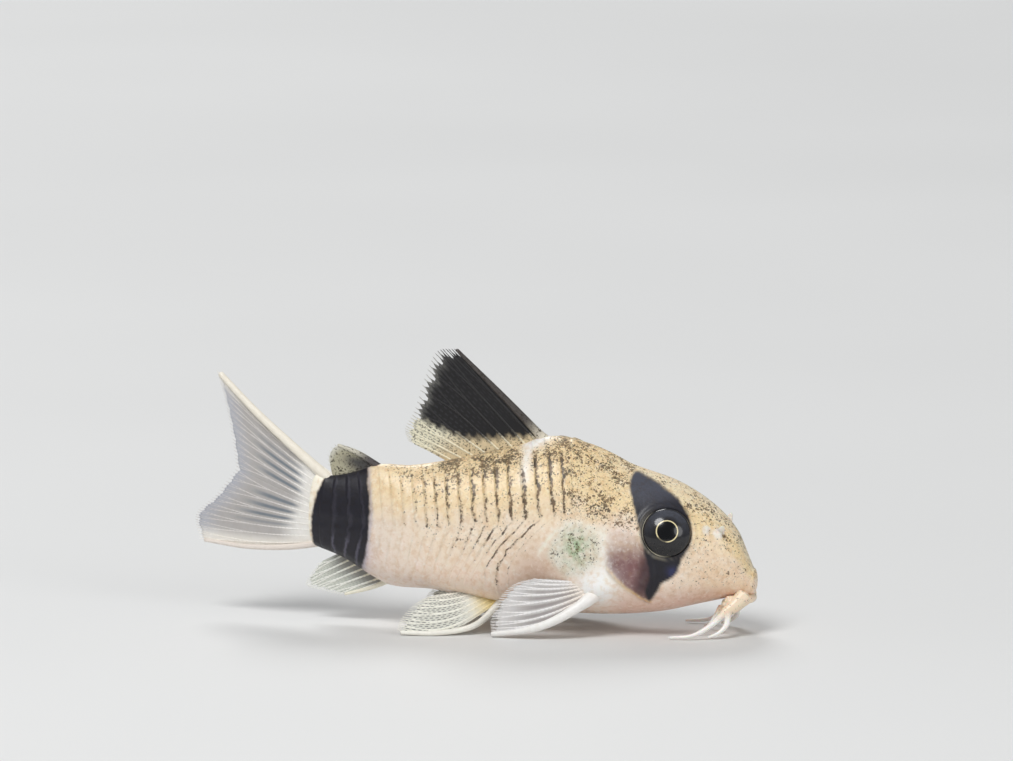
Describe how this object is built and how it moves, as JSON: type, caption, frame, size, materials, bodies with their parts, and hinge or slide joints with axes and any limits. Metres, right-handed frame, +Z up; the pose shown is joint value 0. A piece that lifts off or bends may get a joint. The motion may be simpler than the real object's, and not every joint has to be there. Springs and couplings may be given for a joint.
{
  "type": "panda corydoras catfish",
  "caption": "Life-size still model of a small armoured catfish resting on its fins, head low, with scutes, rayed fins and barbels.",
  "frame": {"origin": "centre of the bounding box on the floor that the fins and barbels rest on", "axes": "+X towards the snout, +Y towards the fish's left, +Z up"},
  "size_m": [0.0506, 0.0142, 0.0245],
  "materials": {
    "head_skin": "satin, wet",
    "flank_skin": "satin, wet",
    "tail_skin": "satin, wet",
    "dorsal_fin": "satin",
    "adipose_fin": "satin",
    "clear_fin": "satin",
    "eye": "glossy",
    "pale_fin": "satin",
    "barbel": "satin"
  },
  "bodies": {
    "root": {"head": "head_skin", "torso": "flank_skin", "tail_peduncle": "tail_skin", "dorsal_fin": "dorsal_fin", "adipose_fin": "adipose_fin", "caudal_fin_upper": "clear_fin", "caudal_fin_lower": "clear_fin", "anal_fin": "clear_fin", "eye_left": "eye", "pectoral_fin_left": "pale_fin", "pelvic_fin_left": "pale_fin", "barbel_upper_left": "barbel", "barbel_lower_left": "barbel", "barbel_chin_left": "barbel", "eye_right": "eye", "pectoral_fin_right": "pale_fin", "pelvic_fin_right": "pale_fin", "barbel_upper_right": "barbel", "barbel_lower_right": "barbel", "barbel_chin_right": "barbel"}
  },
  "joints": []
}
